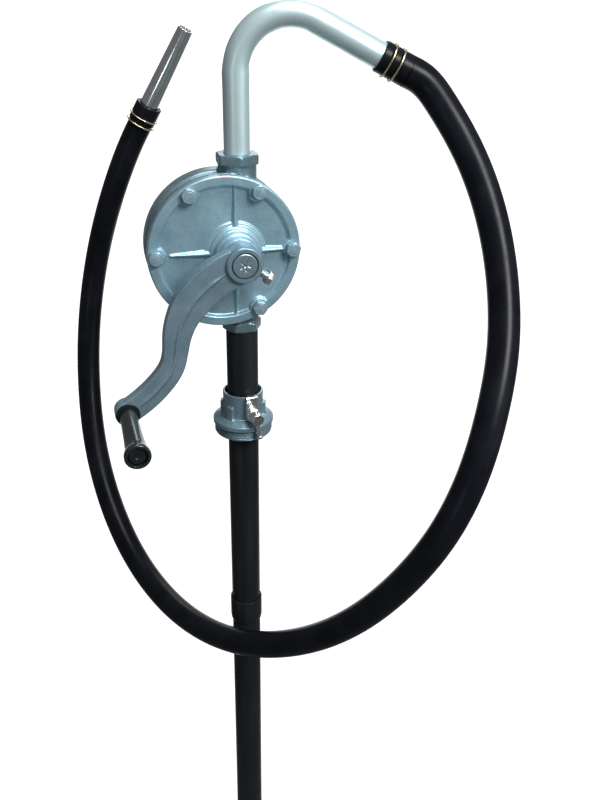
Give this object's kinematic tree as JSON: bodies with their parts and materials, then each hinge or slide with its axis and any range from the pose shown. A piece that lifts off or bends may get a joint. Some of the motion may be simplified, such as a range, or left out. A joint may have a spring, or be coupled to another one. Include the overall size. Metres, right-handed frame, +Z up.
{
  "type": "rotary hand transfer pump",
  "caption": "Crank-driven rotary vane pump on a sliding suction pipe, with a bung adapter, gooseneck spout, rubber hose and straight delivery nozzle.",
  "frame": {"origin": "centre of the bung adapter's sealing face, on the suction pipe's axis", "axes": "+Z up along the suction pipe, -Y towards the crank handle, +X towards the side the spout reaches to"},
  "size_m": [0.389, 0.5816, 1.354],
  "materials": {
    "cast_alloy": "sand-cast, dull blue-grey",
    "spout_alloy": "drawn tube, satin",
    "pipe_black": "satin black",
    "black_rubber": "smooth, slightly glossy",
    "steel": "machined",
    "nickel": "bright plated",
    "brass": "bright wire",
    "bronze": "machined bush",
    "grip_plastic": "moulded, glossy black",
    "carbon": "matt moulded carbon",
    "gasket_fibre": "pressed fibre",
    "bolt_grey": "painted over with the cover"
  },
  "bodies": {
    "bung_mount": {"bung_adapter": "cast_alloy", "clamp_strap": "nickel"},
    "pipe_seal": {"pipe_seal_ring": "black_rubber"},
    "pump": {"casing": "cast_alloy", "cover": "cast_alloy", "cover_gasket": "gasket_fibre", "front_bush": "bronze", "rear_bush": "bronze", "shaft_seal": "black_rubber", "spout": "spout_alloy", "nozzle": "steel", "hose": "black_rubber", "hose_spout_end": "black_rubber", "hose_nozzle_end": "black_rubber", "spout_wire_clamp": "brass", "spout_wire_clamp_screw": "brass", "nozzle_wire_clamp": "brass", "nozzle_wire_clamp_screw": "brass", "suction_pipe_upper": "pipe_black", "suction_pipe_middle": "pipe_black", "suction_pipe_lower": "pipe_black", "pipe_sleeve_1": "pipe_black", "pipe_sleeve_2": "pipe_black", "cover_bolt_1": "bolt_grey", "cover_bolt_2": "bolt_grey", "cover_bolt_3": "bolt_grey", "cover_bolt_4": "bolt_grey", "cover_bolt_5": "bolt_grey", "cover_bolt_6": "bolt_grey"},
    "crank": {"shaft": "steel", "rotor_key": "steel", "rotor": "steel", "vane_1": "carbon", "vane_2": "carbon", "vane_3": "carbon", "vane_4": "carbon", "vane_spring_1": "steel", "vane_spring_2": "steel", "vane_spring_3": "steel", "vane_spring_4": "steel", "crank_arm": "cast_alloy", "crank_set_bolt": "nickel", "handle_spindle": "steel", "handle_washer": "steel"},
    "grip": {"handle_grip": "grip_plastic"},
    "clamp_pad": {"clamp_pad": "brass"},
    "clamp_screw": {"clamp_screw": "nickel"},
    "clamp_bar": {"clamp_bar": "nickel"}
  },
  "joints": [
    {"name": "pump_turn", "type": "hinge", "parent": "bung_mount", "child": "pipe_seal", "pos_m": [0, 0, 0], "axis": [0, 0, 1], "continuous": true},
    {"name": "pump_height", "type": "slide", "parent": "pipe_seal", "child": "pump", "axis": [0, 0, 1], "range_m": [-0.05, 0.19]},
    {"name": "crank_turn", "type": "hinge", "parent": "pump", "child": "crank", "pos_m": [-0.0098, 0, 0.1905], "axis": [0, 1, 0], "continuous": true},
    {"name": "grip_turn", "type": "hinge", "parent": "crank", "child": "grip", "pos_m": [-0.1232, 0, 0.0525], "axis": [0, 1, 0], "continuous": true},
    {"name": "clamp_advance", "type": "slide", "parent": "bung_mount", "child": "clamp_pad", "axis": [0.179, -0.9838, 0], "range_m": [0, 0.0025]},
    {"name": "clamp_turn", "type": "hinge", "parent": "clamp_pad", "child": "clamp_screw", "pos_m": [0, 0, 0.0175], "axis": [0.179, -0.9838, 0], "range_deg": [0, 720]},
    {"name": "bar_slide", "type": "slide", "parent": "clamp_screw", "child": "clamp_bar", "axis": [-0.1567, -0.0285, 0.9872], "range_m": [0, 0.0146]}
  ],
  "couplings": [
    {"joint": "clamp_turn", "follows": "clamp_advance", "rad_per_m": 5026.5}
  ]
}
